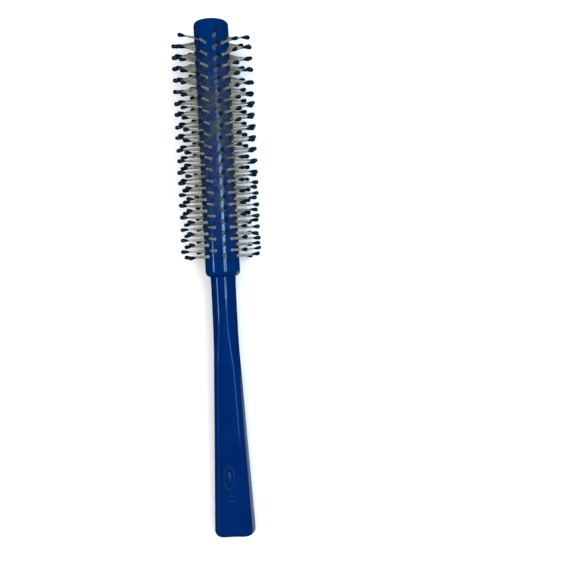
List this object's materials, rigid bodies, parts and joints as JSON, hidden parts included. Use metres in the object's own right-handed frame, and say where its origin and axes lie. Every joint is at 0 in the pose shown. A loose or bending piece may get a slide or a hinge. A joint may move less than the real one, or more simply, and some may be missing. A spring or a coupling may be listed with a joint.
{
  "type": "round hair brush",
  "caption": "Round blow-dry hair brush: slim perforated barrel with staggered rows of ball-tipped nylon quills and a moulded handle that flares to a flat-sided butt.",
  "frame": {"origin": "middle of the brush's footprint on the surface it lies on", "axes": "+Y towards the free end of the barrel, +Z up, the side that the handle's front flat faces, +X to the right seen from above with +Y up. The brush lies at rest on its butt edge and its last ball tips, so its own long axis rises 5.11 degrees from the surface towards +Y"},
  "size_m": [0.034, 0.2236, 0.0422],
  "materials": {
    "handle_plastic": "glossy injection-moulded plastic, deep blue",
    "barrel_plastic": "glossy injection-moulded plastic, deep blue",
    "core_plastic": "natural grey moulded plastic, hidden inside the barrel",
    "quill_nylon": "off-white translucent nylon, satin",
    "tip_resin": "dark teal dipped resin, glossy"
  },
  "bodies": {
    "root": {"handle": "handle_plastic", "barrel": "barrel_plastic", "end_cap": "barrel_plastic", "core_sleeve": "core_plastic", "quills_row_01": "quill_nylon", "ball_tips_row_01": "tip_resin", "quills_row_02": "quill_nylon", "ball_tips_row_02": "tip_resin", "quills_row_03": "quill_nylon", "ball_tips_row_03": "tip_resin", "quills_row_04": "quill_nylon", "ball_tips_row_04": "tip_resin", "quills_row_05": "quill_nylon", "ball_tips_row_05": "tip_resin", "quills_row_06": "quill_nylon", "ball_tips_row_06": "tip_resin", "quills_row_07": "quill_nylon", "ball_tips_row_07": "tip_resin", "quills_row_08": "quill_nylon", "ball_tips_row_08": "tip_resin", "quills_row_09": "quill_nylon", "ball_tips_row_09": "tip_resin", "quills_row_10": "quill_nylon", "ball_tips_row_10": "tip_resin", "quills_row_11": "quill_nylon", "ball_tips_row_11": "tip_resin", "quills_row_12": "quill_nylon", "ball_tips_row_12": "tip_resin"}
  },
  "joints": []
}
